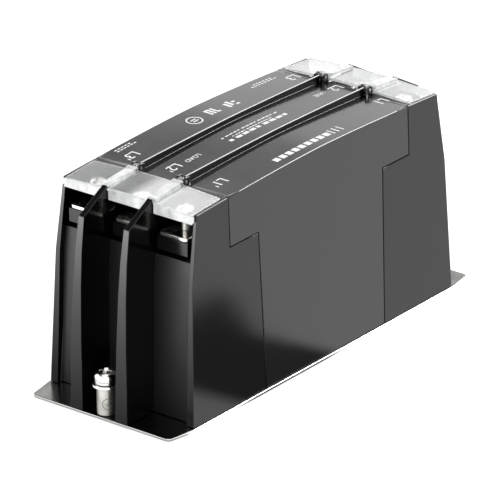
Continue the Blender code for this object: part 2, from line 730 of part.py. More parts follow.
def make_terminal_fasteners(side):
    """Each lane's captive screw, its washer and the nut held in the pedestal."""
    x = SIDES[side] * TERMINAL_SCREW_OUT
    head_bottom = TERMINAL_HEAD_TOP - TERMINAL_HEAD_HEIGHT
    washer_bottom = head_bottom - GAP - TERMINAL_WASHER_THICKNESS
    nut_bottom = BUS_BAR_BOTTOM - 0.0005 - TERMINAL_NUT_HEIGHT
    screw = pan_head_screw(TERMINAL_HEAD_RADIUS, TERMINAL_HEAD_HEIGHT, TERMINAL_THREAD_RADIUS,
                           TERMINAL_SHANK)
    ring = washer(TERMINAL_WASHER_RADIUS, TERMINAL_WASHER_HOLE, TERMINAL_WASHER_THICKNESS)
    nut = plan_prism(hexagon(TERMINAL_NUT_FLATS), 0.0, TERMINAL_NUT_HEIGHT)
    cut(nut, [cylinder(TERMINAL_THREAD_RADIUS + GAP, -0.001, 0.006, FINE_ROUND)])
    kinds = [(screw, "screw", "bright_steel", head_bottom),
             (ring, "washer", "bright_steel", washer_bottom),
             (nut, "nut", "zinc_plate", nut_bottom)]
    for obj, kind, material_name, z in kinds:
        finish(obj, f"{side}_terminal_{kind}_1", material_name, smooth=kind != "nut")
        place(obj, x, SCREWS[1], z)
        for lane in (2, 3):
            copy_to(obj, f"{side}_terminal_{kind}_{lane}", x, SCREWS[lane], z)


def make_earth_terminal(side):
    x = SIDES[side] * EARTH_OUT
    bore_bottom = EARTH_POST_TOP - EARTH_BORE_DEPTH
    post = turned([(0.0, GAP), (EARTH_SPIGOT_RADIUS, GAP), (EARTH_SPIGOT_RADIUS, HOUSING_BOTTOM),
                   (EARTH_POST_RADIUS, HOUSING_BOTTOM),
                   (EARTH_POST_RADIUS, EARTH_POST_TOP - 0.0003),
                   (EARTH_POST_RADIUS - 0.0003, EARTH_POST_TOP),
                   (EARTH_BORE_RADIUS, EARTH_POST_TOP), (EARTH_BORE_RADIUS, bore_bottom),
                   (0.0, bore_bottom - 0.0010)])
    finish(place(post, x, 0.0), f"{side}_earth_post", "cast_post", smooth=True)
    flat_bottom = EARTH_POST_TOP + GAP
    flat = washer(EARTH_FLAT_WASHER_RADIUS, EARTH_WASHER_HOLE, EARTH_FLAT_WASHER_THICKNESS)
    finish(place(flat, x, 0.0, flat_bottom), f"{side}_earth_flat_washer", "bright_steel", True)
    spring_bottom = flat_bottom + EARTH_FLAT_WASHER_THICKNESS + GAP
    finish(place(spring_washer(), x, 0.0, spring_bottom), f"{side}_earth_spring_washer",
           "bright_steel", True)
    head_bottom = spring_bottom + EARTH_SPRING_WASHER_THICKNESS + GAP
    screw = pan_head_screw(EARTH_HEAD_RADIUS, EARTH_HEAD_HEIGHT, EARTH_THREAD_RADIUS, EARTH_SHANK)
    finish(place(screw, x, 0.0, head_bottom), f"{side}_earth_screw", "bright_steel", True)


def spring_washer():
    """A split ring."""
    ring = washer(EARTH_SPRING_WASHER_RADIUS, EARTH_WASHER_HOLE, EARTH_SPRING_WASHER_THICKNESS)
    split = box((-0.0080, -0.0005, -0.001), (0.0, 0.0005, 0.003))
    return cut(ring, [split])


def make_choke():
    """A ring core with three windings on a mount whose column holds up the board."""
    ring = [(CORE_INNER, CORE_BOTTOM), (CORE_OUTER, CORE_BOTTOM), (CORE_OUTER, CORE_TOP),
            (CORE_INNER, CORE_TOP)]
    finish(turned(ring, 36, closed=True), "choke_core", "core_case", smooth=True)
    for number in (1, 2, 3):
        make_winding(number)
    mount = cylinder(MOUNT_DISC_RADIUS, HOUSING_BOTTOM, MOUNT_DISC_TOP, 36)
    column = cylinder(COLUMN_RADIUS, HOUSING_BOTTOM + 0.001, BOARD_BOTTOM - GAP)
    vanes = []
    for number in range(3):
        vane = box((0.004, -VANE_THICKNESS / 2, MOUNT_DISC_TOP - 0.001),
                   (CORE_INNER - GAP, VANE_THICKNESS / 2, CORE_TOP + 0.004))
        vane.rotation_euler = (0.0, 0.0, 2 * math.pi * (number + 0.5) / 3)
        vanes.append(vane)
    join(mount, [column] + vanes)
    finish(mount, "choke_mount", "white_nylon")


def make_winding(number):
    """Enamelled wire wound on the ring, with both ends led up to the board."""
    clear = WIRE_RADIUS + GAP
    middle = (CORE_OUTER + CORE_INNER) / 2
    height = (CORE_TOP + CORE_BOTTOM) / 2
    half_r = (CORE_OUTER - CORE_INNER) / 2 + clear
    half_z = (CORE_TOP - CORE_BOTTOM) / 2 + clear
    loop = [(half_r, half_z - WIRE_BEND), (half_r, WIRE_BEND - half_z),
            (half_r - WIRE_BEND, -half_z), (WIRE_BEND - half_r, -half_z),
            (-half_r, WIRE_BEND - half_z), (-half_r, half_z - WIRE_BEND),
            (WIRE_BEND - half_r, half_z), (half_r - WIRE_BEND, half_z)]
    count = WINDING_TURNS * len(loop)
    points = []
    for i in range(count):
        radius, z = loop[i % len(loop)]
        angle = 2 * math.pi * (number - 1) / 3 + WINDING_SECTOR * (i / count - 0.5)
        reach = middle + radius
        points.append(Vector((reach * math.cos(angle), reach * math.sin(angle), height + z)))
    lead_top = BOARD_BOTTOM - GAP
    points = ([Vector((*points[0].xy, lead_top))] + points
              + [Vector((*points[-1].xy, lead_top))])
    curve = bpy.data.curves.new("winding", "CURVE")
    curve.dimensions = "3D"
    curve.bevel_depth = WIRE_RADIUS
    curve.bevel_resolution = 0
    curve.use_fill_caps = True
    spline = curve.splines.new("POLY")
    spline.points.add(len(points) - 1)
    for point, position in zip(spline.points, points):
        point.co = (*position, 1.0)
    winding = bpy.data.objects.new(f"choke_winding_{number}", curve)
    bpy.context.scene.collection.objects.link(winding)
    curve.materials.append(material("copper_wire"))


def make_circuit_board():
    board = box((-BOARD_HALF_LENGTH, -BOARD_HALF_WIDTH, BOARD_BOTTOM),
                (BOARD_HALF_LENGTH, BOARD_HALF_WIDTH, BOARD_BOTTOM + BOARD_THICKNESS))
    half = BUS_BAR_TAB_WIDTH / 2 + GAP
    slots = [out_box(side, BUS_BAR_TAB_OUT - GAP, BUS_BAR_TAB_OUT + BUS_BAR_THICKNESS + GAP,
                     y - half, y + half, BOARD_BOTTOM - 0.001, BOARD_BOTTOM + 0.003)
             for side in SIDES for y in LANES.values()]
    finish(cut(board, slots), "circuit_board", "circuit_laminate")


def make_board_parts():
    """Film capacitors across the phases, one to earth, and three bleed resistors."""
    base = BOARD_BOTTOM + BOARD_THICKNESS + GAP
    for number in (1, 2, 3):
        x = X_CAPACITOR_PITCH * (number - 2)
        add_case(f"x_capacitor_{number}", X_CAPACITOR_SIZE, x, base)
    add_case("y_capacitor", Y_CAPACITOR_SIZE, Y_CAPACITOR_X, base)
    for number, y in LANES.items():
        body = cylinder(RESISTOR_RADIUS, -RESISTOR_LENGTH / 2, RESISTOR_LENGTH / 2, 12)
        body.data.transform(Matrix.Rotation(math.pi / 2, 4, "X"))
        place(body, RESISTOR_X, y * 0.8, base + RESISTOR_RADIUS)
        finish(body, f"bleed_resistor_{number}", "resistor_body", smooth=True)


def add_case(name, size, x, base):
    """A moulded capacitor case with softened edges."""
    half = size / 2
    case = box((-half.x, -half.y, 0.0), (half.x, half.y, size.z))
    bevel = case.modifiers.new("edges", "BEVEL")
    bevel.width = 0.0006
    bevel.segments = 1
    finish(place(case, x, 0.0, base), name, "capacitor_case")


def main():
    clear_scene()
    make_base_plate()
    make_housing_screws()
    make_hood()
    for side in SIDES:
        make_end_block(side)
        make_cover(side)
        make_hinge_pins(side)
        make_bus_bars(side)
        make_terminal_fasteners(side)
        make_earth_terminal(side)
    make_choke()
    make_circuit_board()
    make_board_parts()


main()
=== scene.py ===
"""Looks for the three-phase power line filter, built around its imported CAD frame."""
import math

import bmesh
import bpy
from mathutils import Matrix, Vector


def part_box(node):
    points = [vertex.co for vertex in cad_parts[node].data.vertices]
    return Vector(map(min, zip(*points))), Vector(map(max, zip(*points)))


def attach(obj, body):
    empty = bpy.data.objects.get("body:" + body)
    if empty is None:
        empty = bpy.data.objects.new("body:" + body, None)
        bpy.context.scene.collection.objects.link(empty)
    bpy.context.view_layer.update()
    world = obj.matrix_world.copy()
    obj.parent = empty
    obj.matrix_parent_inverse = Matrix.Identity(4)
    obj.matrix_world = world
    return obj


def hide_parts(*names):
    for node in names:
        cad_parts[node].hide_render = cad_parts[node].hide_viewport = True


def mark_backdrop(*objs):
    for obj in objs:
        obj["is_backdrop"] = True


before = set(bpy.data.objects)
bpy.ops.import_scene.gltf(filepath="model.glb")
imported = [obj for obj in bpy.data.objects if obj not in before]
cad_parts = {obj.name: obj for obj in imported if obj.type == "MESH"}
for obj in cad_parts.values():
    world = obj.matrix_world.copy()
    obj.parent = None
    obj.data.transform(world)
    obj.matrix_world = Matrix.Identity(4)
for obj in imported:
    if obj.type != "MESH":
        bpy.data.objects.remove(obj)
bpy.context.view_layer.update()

SIDES = {"load": -1, "line": 1}
ROOT = "filter"
DECK_TOP = 0.1120
DECK_CROWN = 0.0036
DECK_CROWN_REACH = 0.0992
DECK_BARE_HALF_LENGTH = 0.0745
DECK_RIM_Y = 0.0410
RIB_Y = (-0.0143, 0.0143)
RIB_HALF_WIDTH = 0.0007
LANES = (1, 2, 3)
HOUSING_ROUNDING = 0.00062
COVER_HINGE_REACH = 0.0779
COVER_LIP_OUT = 0.0993
COVER_RIB_HALF_WIDTH = 0.0031
PRINT_THICKNESS = 0.00005
PRINT_SUNK = 0.00002


# ---------------------------------------------------------------- materials

def new_material(name, colour, roughness, metallic=0.0, **inputs):
    """A principled material; other inputs are given with _ for each space in their names."""
    made = bpy.data.materials.new(name)
    made.use_nodes = True
    shader = made.node_tree.nodes["Principled BSDF"]
    shader.inputs["Base Color"].default_value = (*colour, 1.0)
    shader.inputs["Roughness"].default_value = roughness
    shader.inputs["Metallic"].default_value = metallic
    for key, value in inputs.items():
        shader.inputs[key.replace("_", " ")].default_value = value
    return made


def noise(mat, scale, detail=4.0, stretch=(1.0, 1.0, 1.0)):
    """A noise texture in object space; returns its factor socket."""
    tree = mat.node_tree
    where = tree.nodes.new("ShaderNodeTexCoord")
    mapping = tree.nodes.new("ShaderNodeMapping")
    mapping.inputs["Scale"].default_value = stretch
    texture = tree.nodes.new("ShaderNodeTexNoise")
    texture.inputs["Scale"].default_value = scale
    texture.inputs["Detail"].default_value = detail
    tree.links.new(where.outputs["Object"], mapping.inputs["Vector"])
    tree.links.new(mapping.outputs["Vector"], texture.inputs["Vector"])
    return texture.outputs["Fac"]


def remap(mat, socket, low, high, start=0.3, end=0.7):
    """Spread a factor over a range of values."""
    node = mat.node_tree.nodes.new("ShaderNodeMapRange")
    node.inputs["From Min"].default_value = start
    node.inputs["From Max"].default_value = end
    node.inputs["To Min"].default_value = low
    node.inputs["To Max"].default_value = high
    mat.node_tree.links.new(socket, node.inputs["Value"])
    return node.outputs["Result"]


def drive(mat, key, socket):
    """Feed one of the shader's inputs from a socket."""
    mat.node_tree.links.new(socket, mat.node_tree.nodes["Principled BSDF"].inputs[key])


def bump(mat, socket, strength, distance):
    """Raise the surface by a factor, as a bump."""
    node = mat.node_tree.nodes.new("ShaderNodeBump")
    node.inputs["Strength"].default_value = strength
    node.inputs["Distance"].default_value = distance
    mat.node_tree.links.new(socket, node.inputs["Height"])
    drive(mat, "Normal", node.outputs["Normal"])


def two_tone(mat, socket, dark, light):
    """Vary the base colour between two colours."""
    ramp = mat.node_tree.nodes.new("ShaderNodeValToRGB")
    ramp.color_ramp.elements[0].position = 0.35
    ramp.color_ramp.elements[0].color = (*dark, 1.0)
    ramp.color_ramp.elements[1].position = 0.65
    ramp.color_ramp.elements[1].color = (*light, 1.0)
    mat.node_tree.links.new(socket, ramp.inputs["Fac"])
    drive(mat, "Base Color", ramp.outputs["Color"])


def moulded(name, colour, roughness, **inputs):
    """Glossy moulded plastic: fine grain, soft sink marks and a little haze."""
    mat = new_material(name, colour, roughness, **inputs)
    haze = noise(mat, 22.0)
    drive(mat, "Roughness", remap(mat, haze, roughness * 0.85, roughness * 1.2))
    bump(mat, noise(mat, 2600.0, 2.0), 0.05, 0.00004)
    return mat


def metal(name, dark, light, roughness, scale=300.0, stretch=(1.0, 1.0, 1.0), grain=0.1):
    """Plated metal with faint tone changes and fine marks."""
    mat = new_material(name, light, roughness, metallic=1.0)
    two_tone(mat, noise(mat, scale * 0.2), dark, light)
    marks = noise(mat, scale, 6.0, stretch)
    drive(mat, "Roughness", remap(mat, marks, roughness * 0.75, roughness * 1.3))
    bump(mat, marks, grain, 0.00003)
    return mat


def clear_plastic(name="clear_moulding", clarity=0.84, tint=(0.97, 0.98, 0.98)):
    """Polished clear moulding with faint flow marks."""
    mat = new_material(name, tint, 0.03)
    shader = mat.node_tree.nodes["Principled BSDF"]
    shader.inputs["Transmission Weight"].default_value = clarity
    shader.inputs["IOR"].default_value = 1.46
    drive(mat, "Roughness", remap(mat, noise(mat, 60.0), 0.02, 0.06))
    bump(mat, noise(mat, 300.0, 3.0), 0.04, 0.00004)
    return mat


def frosted_plastic():
    """The same moulding where a thick or broken edge gathers light and looks milky."""
    mat = new_material("milky_edge", (0.97, 0.98, 0.98), 0.22)
    shader = mat.node_tree.nodes["Principled BSDF"]
    shader.inputs["IOR"].default_value = 1.46
    drive(mat, "Transmission Weight", remap(mat, noise(mat, 180.0), 0.30, 0.62))
    bump(mat, noise(mat, 700.0, 3.0), 0.10, 0.00005)
    return mat


def make_materials():
    return {
        "hood": moulded("hood_plastic", (0.0016, 0.0016, 0.0017), 0.16, IOR=1.56),
        "block": moulded("block_plastic", (0.0014, 0.0014, 0.0015), 0.14, IOR=1.43),
        "clear": clear_plastic(),
        "frost": frosted_plastic(),
        # painted shade: the clear hinge eyes are tinted dark grey, standing in for the shade
        # inside the black forks
        "eye": clear_plastic("shaded_hinge_eye", 1.0, (0.10, 0.10, 0.10)),
        "block_matt": moulded("block_end_face", (0.0014, 0.0014, 0.0015), 0.40, IOR=1.46),
        # painted shade: a darker copy of the plated metal for the plate's upward faces, standing
        # in for the dark housing they mirror
        "plate_upper_shade": metal("plate_upper_painted_shade", (0.16, 0.16, 0.155), (0.26, 0.26, 0.25), 0.20, 220.0,
                           (1.0, 14.0, 1.0)),
        "steel": metal("nickel_steel", (0.68, 0.67, 0.64), (0.86, 0.85, 0.83), 0.16),
        "plate": metal("plated_sheet", (0.66, 0.66, 0.64), (0.80, 0.80, 0.78), 0.14, 220.0,
                       (1.0, 14.0, 1.0)),
        "tin": metal("tinned_bar", (0.72, 0.71, 0.67), (0.84, 0.83, 0.80), 0.13, 260.0,
                     grain=0.03),
        "post": metal("matt_post", (0.58, 0.57, 0.53), (0.74, 0.73, 0.69), 0.42, 900.0,
                      grain=0.35),
        "print": moulded("white_ink", (0.86, 0.86, 0.85), 0.45),
        # painted shade: dark colour for the earth sign's engraved grooves
        "sign_groove_shade": moulded("sign_groove_painted_shade", (0.06, 0.06, 0.055), 0.6),
        "core": moulded("core_case_plastic", (0.05, 0.10, 0.24), 0.45),
        "wire": metal("enamelled_copper", (0.44, 0.15, 0.05), (0.66, 0.27, 0.10), 0.28),
        "nylon": moulded("natural_nylon", (0.74, 0.73, 0.68), 0.5),
        "board": moulded("solder_mask", (0.02, 0.16, 0.06), 0.38),
        "capacitor": moulded("capacitor_moulding", (0.64, 0.50, 0.10), 0.36),
        "resistor": moulded("resistor_lacquer", (0.24, 0.38, 0.50), 0.42),
    }


MATS = make_materials()


# ---------------------------------------------------------------- shaping

SHARP_ANGLE = math.radians(25.0)


def deck_height(x):
    """The crowned deck's height."""
    return DECK_TOP + DECK_CROWN * (1 - (abs(x) / DECK_CROWN_REACH) ** 1.5)


def add_piece(name, mesh, look, body=ROOT, stands_for=()):
    """Add a mesh as a named piece that rides on a body and may stand for CAD nodes."""
    piece = bpy.data.objects.new(name, mesh)
    bpy.context.scene.collection.objects.link(piece)
    mesh.materials.clear()
    mesh.materials.append(MATS[look])
    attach(piece, body)
    if stands_for:
        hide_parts(*stands_for)
    return piece


def mesh_from(bm, name, smooth_angle=35.0):
    """Turn a bmesh into a mesh that is smooth up to an angle."""
    bmesh.ops.recalc_face_normals(bm, faces=bm.faces[:])
    mesh = bpy.data.meshes.new(name)
    bm.to_mesh(mesh)
    bm.free()
    mesh.shade_smooth()
    mesh.set_sharp_from_angle(angle=math.radians(smooth_angle))
    return mesh


def bevelled(piece, width, segments=3, share=None, foot_share=0.0):
    """Round the sharp edges; with share(point), outer edges by that part of the width."""
    modifier = piece.modifiers.new("edges", "BEVEL")
    modifier.width = width
    modifier.segments = segments
    modifier.limit_method = "ANGLE"
    modifier.angle_limit = SHARP_ANGLE
    if share:
        modifier.limit_method = "WEIGHT"
        weigh_edges(piece.data, share, foot_share)
    modifier.use_clamp_overlap = False
    weigh = piece.modifiers.new("shading", "WEIGHTED_NORMAL")
    weigh.keep_sharp = True
    weigh.weight = 80
    return piece


def weigh_edges(mesh, share, foot_share):
    """Weights for the bevel: outer edges, and the inner ones along the feet of the deck ribs."""
    bm = bmesh.new()
    bm.from_mesh(mesh)
    weight = bm.edges.layers.float.new("bevel_weight_edge")
    for edge in bm.edges:
        turn = edge.calc_face_angle_signed() if len(edge.link_faces) == 2 else 0.0
        middle = (edge.verts[0].co + edge.verts[1].co) / 2
        along = edge.verts[1].co - edge.verts[0].co
        if turn > SHARP_ANGLE and not is_seam(middle, along):
            edge[weight] = share(middle)
        elif turn < -SHARP_ANGLE and abs(along.x) > 0.004 and is_rib_foot(middle):
            edge[weight] = foot_share
        edge.smooth = abs(turn) < SHARP_ANGLE or edge[weight] > 0
    bm.to_mesh(mesh)
    bm.free()


def is_on_deck(point, tolerance):
    return (abs(point.x) < DECK_BARE_HALF_LENGTH
            and abs(point.z - deck_height(point.x)) < tolerance)


def is_seam(middle, along):
    """A hair-thin step across the deck, where its end slab was joined on."""
    across = abs(along.y) > 5 * max(abs(along.x), abs(along.z))
    return across and is_on_deck(middle, 0.0001)


def is_rib_foot(middle):
    beside = any(abs(middle.y - y) < RIB_HALF_WIDTH + 0.0005 for y in RIB_Y)
    return beside and is_on_deck(middle, 0.0004)


def rim_share(point):
    """Full rounding for the deck's long edges and the tops of its ribs, less elsewhere."""
    rim = abs(point.y) > DECK_RIM_Y and point.z > DECK_TOP - 0.0008
    rib = any(abs(abs(point.y - y) - RIB_HALF_WIDTH) < 0.0002 for y in RIB_Y)
    rib_top = rib and point.z > deck_height(point.x) + 0.0015
    return 1.0 if rim or rib_top else 0.42


def refined(node, name, look, body, width, segments=3, share=None, foot_share=0.0):
    """The CAD node's own shape with its facets merged and its edges rounded."""
    bm = bmesh.new()
    bm.from_mesh(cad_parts[node].data)
    bmesh.ops.remove_doubles(bm, verts=bm.verts[:], dist=1e-6)
    bmesh.ops.dissolve_limit(bm, angle_limit=math.radians(0.1), verts=bm.verts[:],
                             edges=bm.edges[:])
    piece = add_piece(name, mesh_from(bm, name), look, body, (node,))
    return bevelled(piece, width, segments, share, foot_share)


def turned(profile, segments=64, closed=False):
    """Spin an (r, z) profile about Z into a bmesh."""
    bm = bmesh.new()
    points = [bm.verts.new((r, 0.0, z)) for r, z in profile]
    edges = [bm.edges.new(pair) for pair in zip(points, points[1:])]
    if closed:
        edges.append(bm.edges.new((points[-1], points[0])))
    bmesh.ops.spin(bm, geom=points + edges, cent=(0, 0, 0), axis=(0, 0, 1),
                   angle=2 * math.pi, steps=segments, use_merge=True)
    bmesh.ops.remove_doubles(bm, verts=bm.verts[:], dist=1e-7)
    return bm


def skin(bm, rings):
    """Faces between successive rings of points, and a cap on the first and the last."""
    count = len(rings[0])
    for first, second in zip(rings, rings[1:]):
        for i in range(count):
            j = (i + 1) % count
            bm.faces.new((first[i], first[j], second[j], second[i]))
    bm.faces.new(rings[0])
    bm.faces.new(rings[-1][::-1])


def moved(bm, x, y, z):
    bmesh.ops.translate(bm, verts=bm.verts[:], vec=(x, y, z))
    return bm


def centre_of(node):
    """A CAD node's centre and the two corners of its box."""
    low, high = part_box(node)
    return (low + high) / 2, low, high


# ---------------------------------------------------------------- housing

def make_housing():
    """Hood, base plate, end blocks, covers and bus bars."""
    refined("hood", "hood_shell", "hood", ROOT, HOUSING_ROUNDING, 4, rim_share, 0.24)
    sheet = refined("base_plate", "plate_sheet", "plate", ROOT, 0.00030)
    # painted shade: the plate's upward faces take the darker copy of its metal
    shade_faces(sheet, "plate_upper_shade", lambda face: face.normal.z > 0.9)
    for side in SIDES:
        shell = refined(f"{side}_end_block", f"{side}_end_shell", "block", ROOT,
                        HOUSING_ROUNDING, 4, rim_share)
        shade_faces(shell, "block_matt", lambda face: abs(face.normal.x) > 0.95
                    and abs(face.center.x) < 0.1052 and face.area > 0.0002)
        make_cover(side)
        for lane in LANES:
            refined(f"{side}_bus_bar_{lane}", f"{side}_bar_{lane}", "tin", ROOT, 0.00015, 2)


def shade_faces(piece, look, chosen):
    """Give the chosen faces a second material."""
    piece.data.materials.append(MATS[look])
    index = len(piece.data.materials) - 1
    for face in piece.data.polygons:
        if chosen(face):
            face.material_index = index


def make_cover(side):
    """The clear flap, milky along its lip, its ribs and every rounded edge, with painted shade on
    its hinge eyes.
    """
    flap = refined(f"{side}_terminal_cover", f"{side}_cover_flap", "clear", f"{side}_cover",
                   0.00025)

    def at_hinge(face):
        return abs((flap.matrix_world @ face.center).x) < COVER_HINGE_REACH

    def milky(face):
        where = flap.matrix_world @ face.center
        lip = abs(where.x) > COVER_LIP_OUT
        rib = any(abs(where.y - y) < COVER_RIB_HALF_WIDTH for y in RIB_Y)
        return not at_hinge(face) and (lip or rib or abs(face.normal.z) < 0.5)

    shade_faces(flap, "frost", milky)
    # painted shade: the hinge faces take the dark-tinted clear material
    shade_faces(flap, "eye", at_hinge)
    flap.modifiers["edges"].material = 1


# ---------------------------------------------------------------- fasteners

# Head radius, head height, thread radius and pitch.
M5_SCREW = (0.0050, 0.0036, 0.0024, 0.0008)
M6_SCREW = (0.0059, 0.0048, 0.0028, 0.0010)


def threaded_shank(radius, pitch, bottom, top, around=40):
    """A helical thread: rings whose radius follows the helix."""
    bm = bmesh.new()
    rows = int((top - bottom) / (pitch / 8)) + 1
    depth = pitch * 0.45
    rings = []
    for row in range(rows):
        z = bottom + (top - bottom) * row / (rows - 1)
        ring = []
        for step in range(around):
            phase = (z / pitch - step / around) % 1.0
            lift = 1.0 - abs(2.0 * phase - 1.0)
            fade = min(1.0, (z - bottom) / pitch)
            r = radius - depth * (1.0 - lift * fade)
            a = 2 * math.pi * step / around
            ring.append(bm.verts.new((r * math.cos(a), r * math.sin(a), z)))
        rings.append(ring)
    skin(bm, rings)
    return bm


def pan_head(radius, height):
    """A domed head with its underside at z = 0."""
    profile = [(0.0, 0.0), (radius - 0.0003, 0.0), (radius, 0.0003), (radius, height * 0.34)]
    steps = 10
    for i in range(1, steps + 1):
        a = math.pi / 2 * i / steps
        profile.append((radius * math.cos(a) ** 0.8, height * (0.34 + 0.66 * math.sin(a) ** 0.9)))
    profile[-1] = (0.0, height)
    return turned(profile)


def cross_cutter(reach, half, depth, top):
    """A tapered plus-shaped cutter."""
    bm = bmesh.new()
    rings = []
    for z, grow in ((top - depth, 0.72), (top + 0.001, 1.1)):
        ring = []
        for quarter in range(4):
            turn = Matrix.Rotation(quarter * math.pi / 2, 3, "Z")
            for x, y in ((reach, -half), (reach, half), (half, half)):
                point = turn @ Vector((x * grow, y * grow, 0.0))
                ring.append(bm.verts.new((point.x, point.y, z)))
        rings.append(ring)
    skin(bm, rings)
    return bm


def combined(base, tool, operation):
    """Boolean of two bmeshes, given back as a bmesh."""
    objects = []
    for bm in (base, tool):
        bmesh.ops.recalc_face_normals(bm, faces=bm.faces[:])
        mesh = bpy.data.meshes.new("work")
        bm.to_mesh(mesh)
        bm.free()
        obj = bpy.data.objects.new("work", mesh)
        bpy.context.scene.collection.objects.link(obj)
        objects.append(obj)
    modifier = objects[0].modifiers.new("boolean", "BOOLEAN")
    modifier.operation = operation
    modifier.solver = "EXACT"
    modifier.object = objects[1]
    bpy.context.view_layer.update()
    result = objects[0].evaluated_get(bpy.context.evaluated_depsgraph_get())
    bm = bmesh.new()
    bm.from_mesh(result.data)
    for obj in objects:
        bpy.data.objects.remove(obj, do_unlink=True)
    return bm


def make_screw(name, node, head_radius, head_height, thread_radius, pitch, turn):
    """A pan-head screw with a cross recess; it is its own body."""
    centre, low, high = centre_of(node)
    shank = high.z - low.z - head_height
    head = combined(pan_head(head_radius, head_height),
                    cross_cutter(head_radius * 0.58, head_radius * 0.15, head_height * 0.55,
                                 head_height), "DIFFERENCE")
    thread = threaded_shank(thread_radius, pitch, -shank, 0.0002)
    bm = combined(head, thread, "UNION")
    bmesh.ops.rotate(bm, verts=bm.verts[:], cent=(0, 0, 0), matrix=Matrix.Rotation(turn, 3, "Z"))
    moved(bm, centre.x, centre.y, high.z - head_height)
    return add_piece(name, mesh_from(bm, name, 40.0), "steel", node, (node,))


def make_washer(name, node, body):
    """A punched washer with a rolled top edge."""
    centre, low, high = centre_of(node)
    outer = (high.x - low.x) / 2
    thick = high.z - low.z
    inner = outer * 0.475
    roll = thick * 0.28
    ring = [(inner, 0.0), (outer - roll * 0.4, 0.0), (outer, roll * 0.4), (outer, thick - roll),
            (outer - roll * 0.3, thick - roll * 0.3), (outer - roll, thick), (inner, thick)]
    bm = moved(turned(ring, closed=True), centre.x, centre.y, low.z)
    return add_piece(name, mesh_from(bm, name), "steel", body, (node,))


def make_spring_washer(name, node, body, split_angle):
    """A split ring whose two ends stand a little apart in height."""
    centre, low, high = centre_of(node)
    outer = (high.y - low.y) / 2
    inner = outer - 0.0023
    rise = 0.0003
    thick = high.z - low.z - rise
    bm = bmesh.new()
    steps = 60
    rings = []
    for i in range(steps + 1):
        share = i / steps
        a = split_angle + math.radians(6) + share * math.radians(348)
        z = rise * share
        ring = [bm.verts.new((r * math.cos(a), r * math.sin(a), z + up))
                for r, up in ((inner, 0.0), (outer, 0.0), (outer, thick), (inner, thick))]
        rings.append(ring)
    skin(bm, rings)
    moved(bm, centre.x, centre.y, low.z)
    piece = add_piece(name, mesh_from(bm, name), "steel", body, (node,))
    return bevelled(piece, 0.00018, 2)


def make_fasteners():
    """Terminal and earth screws with their washers, each screw stopped at its own angle."""
    turns = {"load": (0.35, 1.05, 0.15), "line": (0.8, 0.3, 1.2)}
    for side in SIDES:
        for lane in LANES:
            screw = f"{side}_terminal_screw_{lane}"
            ring = f"{side}_terminal_washer_{lane}"
            make_screw(f"{side}_clamp_screw_{lane}", screw, *M5_SCREW, turns[side][lane - 1])
            make_washer(f"{side}_clamp_washer_{lane}", ring, ring)
        body = f"{side}_earth_washers"
        make_screw(f"{side}_ground_screw", f"{side}_earth_screw", *M6_SCREW, 0.5)
        make_washer(f"{side}_ground_washer", f"{side}_earth_flat_washer", body)
        make_spring_washer(f"{side}_ground_spring", f"{side}_earth_spring_washer", body,
                           math.radians(-60))


# ---------------------------------------------------------------- earth posts

POST_RADIUS = 0.0047
POST_SPIGOT_RADIUS = 0.0027
POST_SHOULDER_Z = 0.0018
POST_HOLE_RADIUS = 0.0032
POST_HOLE_DEPTH = 0.0116
POST_SIGN_Z = 0.0085


def make_post(side):
    """A turned post with a lightly rounded rim and foot."""
    node = f"{side}_earth_post"
    centre, low, high = centre_of(node)
    top = high.z
    profile = [(0.0, low.z), (POST_SPIGOT_RADIUS, low.z), (POST_SPIGOT_RADIUS, POST_SHOULDER_Z),
               (POST_RADIUS - 0.0004, POST_SHOULDER_Z), (POST_RADIUS, POST_SHOULDER_Z + 0.0005),
               (POST_RADIUS, top - 0.0005), (POST_RADIUS - 0.0005, top), (POST_HOLE_RADIUS, top),
               (POST_HOLE_RADIUS, top - POST_HOLE_DEPTH), (0.0, top - POST_HOLE_DEPTH - 0.0010)]
    bm = moved(turned(profile, 72), centre.x, centre.y, 0.0)
    add_piece(f"{side}_post", mesh_from(bm, f"{side}_post"), "post", ROOT, (node,))
    make_earth_symbol(side, centre)


def make_earth_symbol(side, centre):
    """A circled protective-earth sign on the post's outward face, its engraved grooves drawn as
    thin dark ribbons in painted shade.
    """
    facing = math.radians(-90 + 36 * SIDES[side])
    half = 0.00013

    def on_post(u, v, out):
        a = facing + u / POST_RADIUS
        r = POST_RADIUS + out
        return Vector((centre.x + r * math.cos(a), centre.y + r * math.sin(a),
                       POST_SIGN_Z + v))

    strokes = [circle_points(0.0030, 40), [(0.0, 0.0021), (0.0, 0.0002)]]
    strokes += [[(-w, z), (w, z)]
                for w, z in ((0.0019, 0.0002), (0.0012, -0.0006), (0.0006, -0.0014))]
    bm = bmesh.new()
    for stroke in strokes:
        add_stroke(bm, stroke, half, on_post)
    add_piece(f"{side}_earth_mark", mesh_from(bm, f"{side}_earth_mark"), "sign_groove_shade", ROOT)


def circle_points(radius, steps):
    """A closed circle of (u, v) points."""
    return [(radius * math.cos(a), radius * math.sin(a))
            for a in (2 * math.pi * i / steps for i in range(steps + 1))]


def add_stroke(bm, points, half, wrap, thickness=0.00006):
    """A thin ribbon with square ends along a line of (u, v) points."""
    fine = []
    for (u0, v0), (u1, v1) in zip(points, points[1:]):
        pieces = max(1, int(math.hypot(u1 - u0, v1 - v0) / 0.0005))
        fine += [(u0 + (u1 - u0) * i / pieces, v0 + (v1 - v0) * i / pieces) for i in range(pieces)]
    fine.append(points[-1])
    rows = []
    for i, (u, v) in enumerate(fine):
        before = fine[max(0, i - 1)]
        after = fine[min(len(fine) - 1, i + 1)]
        du, dv = after[0] - before[0], after[1] - before[1]
        length = math.hypot(du, dv)
        nu, nv = -dv / length * half, du / length * half
        corners = ((-1, -0.00003), (1, -0.00003), (1, thickness), (-1, thickness))
        rows.append([bm.verts.new(wrap(u + s * nu, v + s * nv, out)) for s, out in corners])
    skin(bm, rows)


# ---------------------------------------------------------------- printing on the deck

